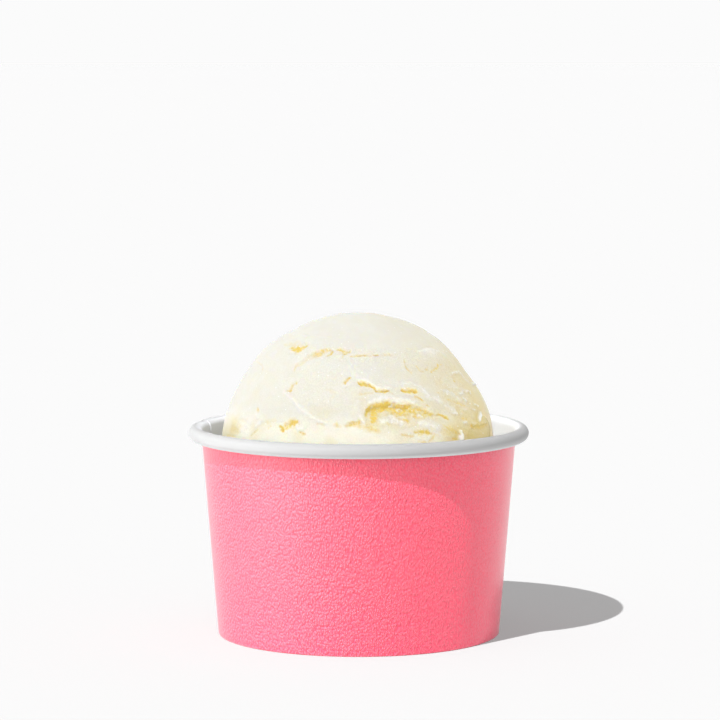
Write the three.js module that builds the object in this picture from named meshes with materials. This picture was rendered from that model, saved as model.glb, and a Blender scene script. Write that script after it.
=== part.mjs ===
// A paper gelato cup with one large scoop in it. Millimetres, +Z up.
// The origin is the centre of the foot ring, on the surface that the cup stands on.
// Run in Node with the npm package three. The default export is the finished group.
import * as THREE from 'three';

// ---- driving dimensions of the cup ----
const rimDiameter = 96; // over the rolled rim
const cupHeight = 59; // from the table to the top of the rolled rim
const footDiameter = 79.5; // outside of the wall where it stands
const curlDiameter = 4; // thickness of the rolled rim
const curlSweep = 295; // degrees the board is rolled through, from the inside wall
const board = 0.4; // paperboard thickness
const fit = 0.25; // play between the boards in the foot
const hemHeight = 5.2; // the wall's turned-in hem, from the table
const footCorner = 0.35; // rounding of the fold the cup stands on
const floorHeight = 6.5; // top of the raised bottom disc

// ---- the lap seam of the side wall, in degrees round from +X ----
const outerFlapEdge = 152; // cut edge that shows outside
const innerFlapEdge = 164; // cut edge that shows inside
const flapRamp = 7; // the outer flap settles back to the round over this much
const cutWidth = 0.15; // a cut edge is this wide, so it stands nearly square
const pressedTo = 3; // the lap is pressed flat below this height
const fullLapAt = 9; // and fully double above this one
const lapInCurl = 0.7; // share of the lap's thickness left where it is rolled

// ---- driving dimensions of the gelato ----
const scoopRadius = 38;
const scoopCentre = new THREE.Vector3(-0.3, 0, 52.6);
const footLatitude = -6; // the ball runs down to here, then spreads to the wall
const moatDepth = 15.6; // from the rim down to the gelato round the scoop's foot
const wallPlay = 0.3; // between the gelato and the board
const gelatoCorner = 1; // rounding of the gelato at the bottom of the cup
const lipDrop = 0.7; // a torn edge falls away over this much
const tearEnd = 0.25; // share of a tear's relief that is left at its two ends

// ---- how finely the round forms are cut ----
const cupSteps = 64;
const curlSteps = 11;
const frontReach = 99; // degrees of bearing each way that count as the ball's front
const frontStep = 3; // degrees of bearing between points there
const backStep = 4.5; // and round the back
const sideStep = 2.5; // degrees of latitude on the torn sides of the ball

const radians = THREE.MathUtils.degToRad;
const degrees = THREE.MathUtils.radToDeg;
const smoothstep = THREE.MathUtils.smoothstep;

// Shapes from a grid of points

// A closed surface from rings of points that all run the same way round the axis.
// closed: the last ring joins the first, as on a tube bent into a ring.
// Otherwise the first and last rings shrink to one point each.
function closedGrid(rings, closed) {
	const positions = [];
	const index = [];
	const starts = rings.map((ring) => {
		const start = positions.length / 3;
		ring.forEach((p) => positions.push(p.x, p.y, p.z));
		return start;
	});
	const count = Math.max(...rings.map((ring) => ring.length));
	const at = (i, j) => starts[i] + (rings[i].length === 1 ? 0 : j % count);
	const bands = closed ? rings.length : rings.length - 1;
	for (let i = 0; i < bands; i++) {
		const k = (i + 1) % rings.length;
		for (let j = 0; j < count; j++) {
			const [a, b, c, d] = [at(i, j), at(i, j + 1), at(k, j + 1), at(k, j)];
			if (a !== b) index.push(a, c, b);
			if (c !== d) index.push(a, d, c);
		}
	}
	const geometry = new THREE.BufferGeometry();
	geometry.setAttribute('position', new THREE.Float32BufferAttribute(positions, 3));
	geometry.setIndex(index);
	geometry.computeVertexNormals();
	return geometry;
}

function onAxis(z) {
	return [new THREE.Vector3(0, 0, z)];
}

// The point at radius r and height z, on the meridian at this angle.
function onMeridian(r, z, angle) {
	return new THREE.Vector3(r * Math.cos(radians(angle)), r * Math.sin(radians(angle)), z);
}

// Paperboard side wall with its rolled rim, lap seam and foot hem

const footRadius = footDiameter / 2;
const curlRadius = curlDiameter / 2;
const curlCentre = { r: rimDiameter / 2 - curlRadius, z: cupHeight - curlRadius };

// The inside face runs straight from the foot to where it touches the curl.
const curlOut = curlCentre.r - (footRadius - board);
const wallLean = Math.atan2(curlOut, curlCentre.z)
	- Math.asin(curlRadius / Math.hypot(curlOut, curlCentre.z));

// Radius at height z of a face that lies this deep behind the wall's outside.
function wallRadius(z, depth = 0) {
	return footRadius + Math.tan(wallLean) * z - depth / Math.cos(wallLean);
}

// One profile point of the board. (nr, nz) points from the inside face to the printed one.
function boardPoint(face, r, z, nr, nz) {
	return { face, r, z, nr, nz, lap: smoothstep(z, pressedTo, fullLapAt) };
}

// The board's section as one closed loop: from the top of the hem along the inside face,
// up the wall and into the curl, then back along the printed face, round the foot.
function boardProfile() {
	const out = { r: Math.cos(wallLean), z: -Math.sin(wallLean) };
	const channel = 2 * board + 2 * fit; // from the wall's outside in to the hem
	const hemFace = (face, z, depth) => ({
		...boardPoint(face, wallRadius(z, depth), z, -out.r, -out.z),
		lap: 0,
	});
	const printed = [hemFace('printed', hemHeight, channel + board)];
	const corner = (centreR, from, to) => {
		for (let step = 0; step <= 2; step++) {
			const a = radians(THREE.MathUtils.lerp(from, to, step / 2));
			printed.push({
				...boardPoint('printed', centreR + footCorner * Math.cos(a),
					footCorner + footCorner * Math.sin(a), Math.cos(a), Math.sin(a)),
				lap: 0,
			});
		}
	};
	corner(wallRadius(footCorner, channel + board) + footCorner, 180, 270);
	corner(wallRadius(footCorner) - footCorner, 270, 360);
	for (const z of [pressedTo, fullLapAt]) {
		printed.push(boardPoint('printed', wallRadius(z), z, out.r, out.z));
	}
	const inside = [
		hemFace('inside', hemHeight, channel),
		hemFace('inside', board, channel),
		boardPoint('inside', wallRadius(board, board), board, out.r, out.z),
	];
	for (const z of [pressedTo, fullLapAt]) {
		inside.push(boardPoint('inside', wallRadius(z, board), z, out.r, out.z));
	}
	const startAngle = 180 - degrees(wallLean);
	for (let step = 0; step <= curlSteps; step++) {
		const a = radians(startAngle - (curlSweep * step) / curlSteps);
		const [c, s] = [Math.cos(a), Math.sin(a)];
		const place = (face, radius) => ({
			...boardPoint(face, curlCentre.r + radius * c, curlCentre.z + radius * s, -c, -s),
			lap: lapInCurl,
		});
		printed.push(place('printed', curlRadius - board));
		inside.push(place('inside', curlRadius));
	}
	return [...inside, ...printed.reverse()];
}

// How far the lap lifts each face off the round, towards the printed side.
function lapLift(face, angle) {
	const settling = board * (1 - smoothstep(angle, innerFlapEdge, innerFlapEdge + flapRamp));
	if (face === 'inside') return angle <= innerFlapEdge ? 0 : settling;
	if (angle < outerFlapEdge) return 0;
	return angle <= innerFlapEdge ? board : settling;
}

// Even steps round the cup, with closer ones where the two cut edges and the ramp are.
function wallAngles() {
	const seam = [
		outerFlapEdge - cutWidth, outerFlapEdge,
		(outerFlapEdge + innerFlapEdge) / 2,
		innerFlapEdge, innerFlapEdge + cutWidth,
		innerFlapEdge + flapRamp / 2, innerFlapEdge + flapRamp,
	];
	const clear = 2; // degrees kept between an even step and the seam's own
	const even = [];
	for (let i = 0; i < cupSteps; i++) {
		const angle = (360 * i) / cupSteps;
		if (angle < seam[0] - clear || angle > seam[seam.length - 1] + clear) even.push(angle);
	}
	return [...even, ...seam].sort((a, b) => a - b);
}

function makeWall() {
	const angles = wallAngles();
	const rings = boardProfile().map((p) => angles.map((angle) => {
		const lift = p.lap * lapLift(p.face, angle);
		return onMeridian(p.r + p.nr * lift, p.z + p.nz * lift, angle);
	}));
	const material = new THREE.MeshStandardMaterial({ color: 0xff7d92, roughness: 0.45 });
	const mesh = new THREE.Mesh(closedGrid(rings, true), material);
	mesh.name = 'cup_wall';
	return mesh;
}

// Raised bottom disc, its skirt held in the hem

function makeFloor() {
	const skirtEnd = board + fit + 0.1;
	const bend = 0.7; // outside radius of the disc's turned-down edge
	const evenAngles = Array.from({ length: cupSteps }, (_, i) => (360 * i) / cupSteps);
	const ring = (r, z) => evenAngles.map((angle) => onMeridian(r, z, angle));
	const outside = board + fit; // depth of the skirt's outer face behind the wall's outside
	const edge = wallRadius(floorHeight - bend, outside);
	const rings = [
		onAxis(floorHeight),
		ring(edge - bend, floorHeight),
		ring(edge - bend * (1 - Math.SQRT1_2), floorHeight - bend * (1 - Math.SQRT1_2)),
		ring(edge, floorHeight - bend),
		ring(wallRadius(skirtEnd, outside), skirtEnd),
		ring(wallRadius(skirtEnd, outside + board), skirtEnd),
		ring(edge - board, floorHeight - bend),
		ring(edge - bend, floorHeight - board),
		onAxis(floorHeight - board),
	];
	const material = new THREE.MeshStandardMaterial({ color: 0xeeeeee, roughness: 0.55 });
	const mesh = new THREE.Mesh(closedGrid(rings, false), material);
	mesh.name = 'cup_floor';
	return mesh;
}

// Gelato: one scoop, torn where it curled into the spoon, on the cup's fill

// Places on the scoop are [bearing, latitude] in degrees. Bearing 0 faces -Y and grows
// towards +X, and latitude is counted up from the scoop's widest level.
// A tear is a torn edge: the surface lifts to a lip, then drops into a crevice on the
// edge's right-hand side, going from its first point to its last.
// depth and lip are in mm, and reach is how far the crevice runs out.
const tears = [
	{ edge: [[3, 19], [4, 24], [9, 26], [18, 26], [27, 24]], lip: 0.32, depth: 1.3, reach: 3 },
	{ edge: [[26, 24], [31, 22], [36, 20]], lip: 0.2, depth: 0.5, reach: 2 },
	{ edge: [[-36, 38], [-34, 45], [-26, 50], [-16, 52]], lip: 0.1, depth: 0.3, reach: 2 },
	{ edge: [[-5, 48], [7, 50], [27, 49]], lip: 0.12, depth: 0.3, reach: 1.5 },
	{ edge: [[-1, 34], [4, 34], [9, 32], [15, 31]], lip: 0.25, depth: 0.5, reach: 1.5 },
	{ edge: [[21, 32], [25, 31], [30, 30]], lip: 0.25, depth: 0.6, reach: 1.5 },
	{ edge: [[-6, 45], [3, 39], [9, 35], [19, 31]], lip: 0.3, depth: 0, reach: 1.5 },
	{ edge: [[-37, 29], [-28, 24], [-14, 17]], lip: 0.3, depth: 0, reach: 1.5 },
	{ edge: [[-58, 54], [-39, 58], [-15, 59], [-4, 58]], lip: 0.15, depth: 0, reach: 2.2 },
	{ edge: [[71, 46], [61, 50], [49, 50], [41, 48]], lip: 0.3, depth: 0.12, reach: 1.8 },
	{ edge: [[64, 38], [70, 37], [77, 36]], lip: 0.3, depth: 0.3, reach: 1.5 },
	{ edge: [[56, 13], [65, 12], [75, 12]], lip: 0.2, depth: 0.5, reach: 1.5 },
	{ edge: [[-6, 16], [0, 18], [3, 18]], lip: 0.2, depth: 0.4, reach: 1.5 },
];

// A lump or, with a negative height, a pit: its middle, its size across and along, its height.
const lumps = [
	{ at: [-43, 51], size: [7, 3], height: -0.4 },
	{ at: [-34, 31], size: [2.6, 3], height: -0.3 },
	{ at: [-30, 15], size: [4.4, 2.6], height: -0.4 },
	{ at: [-65, 10], size: [5, 3], height: -0.2 },
	{ at: [4, 33], size: [5, 2.4], height: -0.4 },
	{ at: [12, 31], size: [4, 2.4], height: -0.35 },
	{ at: [26, 30], size: [5, 2.4], height: -0.45 },
	{ at: [9, 23], size: [8, 3.4], height: -0.3 },
	{ at: [19, 22], size: [9, 4], height: -0.2 },
	{ at: [2, 15], size: [9, 2.4], height: -0.2 },
	{ at: [65, 12], size: [10, 2.4], height: -0.3 },
	{ at: [1, 22], size: [2.6, 5], height: 0.2 },
	{ at: [14, 18], size: [7, 3], height: 0.35 },
	{ at: [32, 15], size: [8, 3], height: 0.35 },
	{ at: [66, 16], size: [2.6, 3.4], height: 0.7 },
	{ at: [48, 9], size: [2.4, 3.4], height: 0.9 },
	{ at: [70, 37], size: [6, 2.4], height: 0.3 },
	{ at: [84, 29], size: [4, 2.2], height: 0.6 },
];

// Where the whole ball swells out or draws in from round, given in the same way.
const bulges = [
	{ at: [-85, 11], size: [40, 13], height: 0.8 },
	{ at: [-85, 46], size: [36, 40], height: -0.3 },
	{ at: [85, 15], size: [40, 17], height: 0.75 },
	{ at: [85, 36], size: [34, 11], height: -0.5 },
	{ at: [70, 84], size: [40, 24], height: 0.3 },
];

// Round the sides and back the tears are drawn by rule, from this seed.
const drawn = {
	seed: 20417,
	count: 15,
	bearings: [112, 252],
	latitudes: [14, 54],
	halfLengths: [8, 20], // degrees of bearing each side of the middle
	slopes: [-9, 9], // degrees that the edge falls from its middle to each end
	depths: [0.6, 1.6],
	reaches: [2, 4],
};

// The same even draws wherever this rule is written.
function makeDraw(seed) {
	let state = seed;
	return (range) => {
		state = (state * 16807) % 2147483647;
		return range[0] + ((range[1] - range[0]) * state) / 2147483647;
	};
}

function drawnTears() {
	const draw = makeDraw(drawn.seed);
	return Array.from({ length: drawn.count }, (_, i) => {
		const share = (i + 0.5) / drawn.count;
		const middle = THREE.MathUtils.lerp(...drawn.bearings, share) + draw([-6, 6]);
		const latitude = draw(drawn.latitudes);
		const half = draw(drawn.halfLengths);
		const slope = draw(drawn.slopes);
		const arch = draw([0, 6]);
		return {
			edge: [[middle - half, latitude + slope], [middle - half / 3, latitude + arch],
				[middle + half / 3, latitude + arch], [middle + half, latitude - slope]],
			lip: draw([0.3, 0.8]),
			depth: draw(drawn.depths),
			reach: draw(drawn.reaches),
		};
	});
}

const millimetresPerDegree = radians(1) * scoopRadius;
const edgeSamples = 14; // points along a tear's edge

function sampledEdge(tear) {
	const points = tear.edge.map(([bearing, latitude]) => new THREE.Vector2(bearing, latitude));
	return { ...tear, line: new THREE.SplineCurve(points).getPoints(edgeSamples) };
}

// Where a place lies from a tear's edge: mm to its right, and how far along, 0 to 1.
function fromEdge(line, bearing, latitude) {
	const across = millimetresPerDegree * Math.cos(radians(latitude));
	const local = line.map((p) => {
		const turn = THREE.MathUtils.euclideanModulo(p.x - bearing + 180, 360) - 180;
		return new THREE.Vector2(turn * across, (p.y - latitude) * millimetresPerDegree);
	});
	let best = { distance: Infinity, side: 1, along: 0 };
	for (let i = 0; i + 1 < local.length; i++) {
		const step = local[i + 1].clone().sub(local[i]);
		const t = THREE.MathUtils.clamp(-local[i].dot(step) / step.lengthSq(), 0, 1);
		const near = local[i].clone().addScaledVector(step, t);
		if (near.length() < best.distance) {
			best = {
				distance: near.length(),
				side: Math.sign(step.x * near.y - step.y * near.x) || 1,
				along: (i + t) / (local.length - 1),
			};
		}
	}
	return best;
}

function tearRelief(tear, bearing, latitude) {
	const { distance, side, along } = fromEdge(tear.line, bearing, latitude);
	const ends = smoothstep(along, 0, 0.2) * (1 - smoothstep(along, 0.8, 1));
	const strength = tearEnd + (1 - tearEnd) * ends;
	if (distance > 4 * tear.reach) return 0;
	if (side < 0) return strength * tear.lip * Math.exp(-distance / tear.reach);
	const drop = 1 - Math.exp(-distance / lipDrop);
	const within = drop * Math.exp(-((distance / tear.reach) ** 2));
	return strength * (tear.lip * (1 - drop) - tear.depth * within);
}

function lumpRelief(lump, bearing, latitude) {
	const turn = THREE.MathUtils.euclideanModulo(bearing - lump.at[0] + 180, 360) - 180;
	const x = (turn * millimetresPerDegree * Math.cos(radians(latitude))) / (lump.size[0] / 2);
	const y = ((latitude - lump.at[1]) * millimetresPerDegree) / (lump.size[1] / 2);
	return lump.height * Math.exp(-(x * x + y * y));
}

// Slow unevenness of the whole ball, in mm, fading where it meets the cup.
function swell(direction, latitude) {
	const { x, y, z } = direction;
	const waves = 0.32 * Math.sin(2.3 * x + 3.1 * z + 0.6) + 0.26 * Math.sin(4.7 * y - 2.2 * x + 1.9)
		+ 0.2 * Math.sin(6.1 * z + 3.4 * x - 0.8) + 0.14 * Math.sin(9.2 * x + 7.3 * y + 2.5);
	return waves * (0.35 + 0.65 * smoothstep(latitude, 0, 25));
}

// Bearings once round the ball, closer together where it faces front.
function ballBearings() {
	const bearings = [];
	for (let b = -frontReach; b < frontReach; b += frontStep) bearings.push(b);
	for (let b = frontReach; b < 360 - frontReach; b += backStep) bearings.push(b);
	return bearings;
}

function makeGelato() {
	const allTears = [...tears, ...drawnTears()].map(sampledEdge);
	const bearings = ballBearings();

	const ballPoint = (bearing, latitude) => {
		const [b, l] = [radians(bearing), radians(latitude)];
		const direction = new THREE.Vector3(
			Math.cos(l) * Math.sin(b), -Math.cos(l) * Math.cos(b), Math.sin(l));
		const low = smoothstep(latitude, 1, 8); // the small relief is kept off the ball's foot
		let relief = swell(direction, latitude);
		allTears.forEach((tear) => { relief += low * tearRelief(tear, bearing, latitude); });
		lumps.forEach((lump) => { relief += low * lumpRelief(lump, bearing, latitude); });
		bulges.forEach((bulge) => { relief += lumpRelief(bulge, bearing, latitude); });
		return direction.multiplyScalar(scoopRadius + relief).add(scoopCentre);
	};

	// From the ball's foot the gelato spreads to the wall in one hollow curve.
	const rimToFoot = cupHeight - moatDepth;
	const spreadPoint = (bearing, share) => {
		const foot = ballPoint(bearing, footLatitude);
		const uneven = Math.sin(radians(3 * bearing + 40)) + 0.7 * Math.sin(radians(7 * bearing));
		const low = rimToFoot - 1 + 0.5 * uneven;
		const meetsWall = rimToFoot + 1 - 0.6 * Math.sin(radians(5 * bearing + 70));
		const footRadial = Math.hypot(foot.x, foot.y);
		const curve = new THREE.QuadraticBezierCurve(
			new THREE.Vector2(footRadial, foot.z),
			new THREE.Vector2(footRadial - 0.2, low),
			new THREE.Vector2(wallRadius(meetsWall, board + wallPlay), meetsWall));
		const { x: r, y: z } = curve.getPoint(share);
		return onMeridian(r, z, degrees(Math.atan2(foot.y, foot.x)));
	};

	const wallPoint = (bearing, z, inset) =>
		onMeridian(wallRadius(z, board + wallPlay) - inset, z, bearing - 90);

	const latitudes = [85, 80, 75, 70, 66, 62];
	for (let latitude = 59; latitude >= 9; latitude -= sideStep) latitudes.push(latitude);
	latitudes.push(5, 0, footLatitude);

	const around = (place) => bearings.map(place);
	const bottom = floorHeight + wallPlay;
	const rings = [
		[ballPoint(0, 90)],
		...latitudes.map((latitude) => around((bearing) => ballPoint(bearing, latitude))),
		...[0.25, 0.5, 0.75, 1].map((share) => around((bearing) => spreadPoint(bearing, share))),
		around((bearing) => wallPoint(bearing, bottom + gelatoCorner, 0)),
		around((bearing) => wallPoint(bearing, bottom, gelatoCorner)),
		onAxis(bottom),
	];
	const material = new THREE.MeshStandardMaterial({ color: 0xf3eed8, roughness: 0.5 });
	const mesh = new THREE.Mesh(closedGrid(rings, false), material);
	mesh.name = 'gelato';
	return mesh;
}

const gelatoCup = new THREE.Group();
gelatoCup.name = 'gelato_cup';
gelatoCup.add(makeWall(), makeFloor(), makeGelato());

export default gelatoCup;
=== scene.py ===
import math

import bpy
import numpy as np
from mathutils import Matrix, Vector, noise


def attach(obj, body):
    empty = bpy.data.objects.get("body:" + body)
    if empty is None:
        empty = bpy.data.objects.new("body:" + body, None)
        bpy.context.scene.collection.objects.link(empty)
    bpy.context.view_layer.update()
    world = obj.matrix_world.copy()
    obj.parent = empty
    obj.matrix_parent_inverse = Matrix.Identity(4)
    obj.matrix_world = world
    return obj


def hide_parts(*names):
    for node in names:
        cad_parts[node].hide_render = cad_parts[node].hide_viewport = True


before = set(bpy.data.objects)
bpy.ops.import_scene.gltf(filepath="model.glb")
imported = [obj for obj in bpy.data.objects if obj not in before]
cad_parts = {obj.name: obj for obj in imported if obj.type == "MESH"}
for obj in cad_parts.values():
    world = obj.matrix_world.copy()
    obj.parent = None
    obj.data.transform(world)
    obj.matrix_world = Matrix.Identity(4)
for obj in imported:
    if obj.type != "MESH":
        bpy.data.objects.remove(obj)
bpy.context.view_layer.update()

mm = 0.001
print("frame loaded:", ", ".join(sorted(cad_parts)))


def smoothstep(x, low, high):
    t = np.clip((np.asarray(x, float) - low) / (high - low), 0, 1)
    return t * t * (3 - 2 * t)


# Rises from 0 to 1, then falls back to 0.
def between(x, riseFrom, riseTo, fallFrom, fallTo):
    return smoothstep(x, riseFrom, riseTo) * (1 - smoothstep(x, fallFrom, fallTo))


def turned(degrees):
    return math.cos(math.radians(degrees)), math.sin(math.radians(degrees))


# A ring of points round the axis. Radius and z are single values or one for each point.
def ringAt(radius, turn, z):
    return np.stack([radius * np.cos(turn), radius * np.sin(turn), z + 0 * turn], 1)


# Vertices and faces from rings of points; a ring of one point is a pole.
def closedGrid(rings, closed):
    starts = np.cumsum([0] + [len(ring) for ring in rings])
    count = max(len(ring) for ring in rings)
    step = np.arange(count)
    nextStep = (step + 1) % count
    faces = []
    bandOf = []
    for i in range(len(rings) if closed else len(rings) - 1):
        k = (i + 1) % len(rings)
        a, b = starts[i] + step, starts[i] + nextStep
        d, c = starts[k] + step, starts[k] + nextStep
        if len(rings[i]) == 1:
            band = np.stack([np.full(count, starts[i]), d, c], 1)
        elif len(rings[k]) == 1:
            band = np.stack([a, np.full(count, starts[k]), b], 1)
        else:
            band = np.stack([a, d, c, b], 1)
        faces += band.tolist()
        bandOf += [i] * count
    return np.concatenate(rings), faces, bandOf


def newPiece(name, points, faces, material, sharpAngle=None):
    mesh = bpy.data.meshes.new(name)
    mesh.from_pydata((np.asarray(points) * mm).tolist(), [], faces)
    mesh.validate()
    piece = bpy.data.objects.new(name, mesh)
    bpy.context.scene.collection.objects.link(piece)
    mesh.shade_smooth()
    if sharpAngle:
        mesh.set_sharp_from_angle(angle=math.radians(sharpAngle))
    for each in material:
        mesh.materials.append(each)
    return piece


# An input takes a fixed value or another node's output.
def feed(tree, node, inputs):
    for key, value in inputs.items():
        if isinstance(value, bpy.types.NodeSocket):
            tree.links.new(value, node.inputs[key])
        else:
            node.inputs[key].default_value = value


# The nodes are laid out in rows of eight, in the order they are made.
def addNode(tree, kind, inputs, **settings):
    node = tree.nodes.new(kind)
    row, column = divmod(len(tree.nodes) - 1, 8)
    node.location = (200 * column, -300 * row)
    for key, value in settings.items():
        setattr(node, key, value)
    feed(tree, node, inputs)
    return node


def newMaterial(name):
    material = bpy.data.materials.new(name)
    material.use_nodes = True
    tree = material.node_tree
    tree.nodes.clear()
    shader = addNode(tree, "ShaderNodeBsdfPrincipled", {})
    addNode(tree, "ShaderNodeOutputMaterial", {"Surface": shader.outputs["BSDF"]})
    return material, tree, shader


def objectPoint(tree, scale):
    place = addNode(tree, "ShaderNodeTexCoord", {}).outputs["Object"]
    inputs = {"Vector": place, "Scale": scale}
    return addNode(tree, "ShaderNodeMapping", inputs).outputs["Vector"]


def noiseField(tree, point, scale, detail, roughness=0.5):
    inputs = {"Vector": point, "Scale": scale, "Detail": detail, "Roughness": roughness}
    return addNode(tree, "ShaderNodeTexNoise", inputs).outputs["Fac"]


def remap(tree, value, fromLow, fromHigh, toLow, toHigh):
    inputs = {"Value": value, "From Min": fromLow, "From Max": fromHigh,
              "To Min": toLow, "To Max": toHigh}
    return addNode(tree, "ShaderNodeMapRange", inputs, clamp=True).outputs["Result"]


def mixColor(tree, factor, a, b, blend="MIX"):
    mix = addNode(tree, "ShaderNodeMix", {}, data_type="RGBA", blend_type=blend)
    feed(tree, mix, {0: factor, 6: a, 7: b})
    return mix.outputs[2]


def mathNode(tree, operation, *values):
    inputs = dict(enumerate(values))
    return addNode(tree, "ShaderNodeMath", inputs, operation=operation).outputs["Value"]


def heightOf(tree, point):
    return addNode(tree, "ShaderNodeSeparateXYZ", {"Vector": point}).outputs["Z"]


def colorRamp(tree, value, stops):
    ramp = addNode(tree, "ShaderNodeValToRGB", {"Fac": value})
    elements = ramp.color_ramp.elements
    while len(elements) < len(stops):
        elements.new(0.5)
    for element, (position, color) in zip(elements, stops):
        element.position = position
        element.color = color
    return ramp.outputs["Color"]


def bumped(tree, height, strength, distance, invert=False):
    inputs = {"Height": height, "Strength": strength, "Distance": distance}
    return addNode(tree, "ShaderNodeBump", inputs, invert=invert).outputs["Normal"]


board = {
    "pink": (0.98, 0.0465, 0.112, 1.0),
    "pinkPale": (0.98, 0.164, 0.228, 1.0),
    "pinkLow": (0.98, 0.018, 0.110, 1.0),  # towards the foot
    "lowTop": 0.022,  # metres
    "lowShare": 0.8,
    "cloudScale": (90, 90, 60),  # faint paler clouds, to the metre
    "cloudShare": 0.04,
    "gloss": 0.15,
    "varnish": 1.0,  # a thin clear coat, pale where the wall is seen edge on
    "varnishRoughness": 0.3,
    "rimHeights": (0.055, 0.059),  # metres, where the rolled rim's painted shade runs from below to its top
    # Painted light and shade on the rolled rim: a pale cool painted highlight along its underside,
    # then greys that darken towards its top, where most light falls.
    "rimPaintedShade": ((0.03, (0.72, 0.84, 0.84, 1.0)), (0.25, (0.497, 0.497, 0.497, 1.0)),
                 (0.55, (0.373, 0.373, 0.373, 1.0)), (1.0, (0.303, 0.303, 0.303, 1.0))),
    # The inside of the same board is painted its own slightly blue white: painted light that evens
    # it against the rim and cancels the cream's yellow bounce.
    "whiteInsidePaintedLight": (0.62, 0.63, 0.67, 1.0),
    "insideEnds": (0.0448, 0.0462),  # metres from the axis, across the rolled rim
    "roughness": 0.38,
    "toothAcross": 2000.0,  # bumps to the metre, round the cup
    "toothUp": 1200.0,  # and up the wall
    "toothDepth": 0.0004,  # metres
    "toothSpread": 0.9,  # how unevenly the bumps are set
    "toothRange": (0.15, 0.75),  # from a bump's middle to its edge
    "toothShares": (0.88, 0.32),  # how pale a bump's middle and edge are
    "whiteRoughness": 0.45,
    "whiteGloss": 0.02,
    "grain": 3200.0,  # of the white board, to the metre
    "grainDepth": 0.00003,
    "grainStrength": 0.25,
}


def makePrinted():
    material, tree, shader = newMaterial("printed_board")
    stretched = objectPoint(tree, (board["toothAcross"],) * 2 + (board["toothUp"],))
    inputs = {"Vector": stretched, "Scale": 1.0, "Randomness": board["toothSpread"]}
    tooth = addNode(tree, "ShaderNodeTexVoronoi", inputs).outputs["Distance"]
    toothShare = remap(tree, tooth, *board["toothRange"], *board["toothShares"])
    cloudy = noiseField(tree, objectPoint(tree, board["cloudScale"]), 1.0, 3.0)
    cloudyShare = remap(tree, cloudy, 0.35, 0.65, 0.0, board["cloudShare"])
    height = heightOf(tree, objectPoint(tree, (1, 1, 1)))
    lowShare = remap(tree, height, 0.0, board["lowTop"], board["lowShare"], 0.0)
    base = mixColor(tree, lowShare, board["pink"], board["pinkLow"])
    base = mixColor(tree, cloudyShare, base, board["pinkPale"])
    feed(tree, shader, {
        "Base Color": mixColor(tree, toothShare, base, board["pinkPale"]),
        "Roughness": board["roughness"],
        "Coat Weight": board["varnish"],
        "Coat Roughness": board["varnishRoughness"],
        "Specular IOR Level": board["gloss"],
        "Normal": bumped(tree, tooth, 1.0, board["toothDepth"], invert=True),
    })
    return material


def makeWhite():
    material, tree, shader = newMaterial("white_board")
    inputs = {0: objectPoint(tree, (1, 1, 0))}
    radius = addNode(tree, "ShaderNodeVectorMath", inputs, operation="LENGTH").outputs["Value"]
    # across the rolled rim the inside's painted-light white gives way to the rim's painted shade
    rimShare = remap(tree, radius, *board["insideEnds"], 0.0, 1.0)
    height = heightOf(tree, objectPoint(tree, (1, 1, 1)))
    # painted light and shade on the rolled rim, graded by height
    up = remap(tree, height, *board["rimHeights"], 0.0, 1.0)
    rim = colorRamp(tree, up, board["rimPaintedShade"])
    grain = noiseField(tree, objectPoint(tree, (board["grain"],) * 3), 1.0, 2.0)
    feed(tree, shader, {
        "Base Color": mixColor(tree, rimShare, board["whiteInsidePaintedLight"], rim),
        "Roughness": board["whiteRoughness"],
        "Specular IOR Level": board["whiteGloss"],
        "Normal": bumped(tree, grain, board["grainStrength"], board["grainDepth"]),
    })
    return material


printedBoard = makePrinted()
whiteBoard = makeWhite()
print("board materials ready")

cup = {
    "rimDiameter": 95.9,  # over the rolled rim
    "height": 59.0,
    "footDiameter": 79.5,
    "curlDiameter": 4.0,
    "curlSweep": 295,  # degrees
    "board": 0.4,
    "fit": 0.25,
    "hemHeight": 5.2,
    "footCorner": 0.35,
    "floorHeight": 6.5,
    "floorBend": 0.7,  # outside radius of the bottom disc's turned-down edge
    "skirtPlay": 0.1,
    "outerFlapEdge": 152,  # degrees round from +X
    "innerFlapEdge": 164,
    "flapRamp": 7,
    "cutWidth": 0.1,
    "pressedTo": 3,
    "fullLapAt": 9,
    "lapInCurl": 0.7,  # share of the lap's thickness left where it is rolled
    "heights": (20, 32, 44),  # mm, rings of points up the wall above the lap's start
    "steps": 288,
    "curlSteps": 30,
    "cornerStep": 15,  # degrees
    "lapSteps": 8,
    "rampSteps": 6,
    "floorSteps": 192,
}
footRadius = cup["footDiameter"] / 2
curlRadius = cup["curlDiameter"] / 2
curlR = cup["rimDiameter"] / 2 - curlRadius
curlZ = cup["height"] - curlRadius
curlOut = curlR - (footRadius - cup["board"])
wallLean = math.atan2(curlOut, curlZ) - math.asin(curlRadius / math.hypot(curlOut, curlZ))


def wallRadius(z, depth=0.0):
    return footRadius + math.tan(wallLean) * z - depth / math.cos(wallLean)


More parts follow.
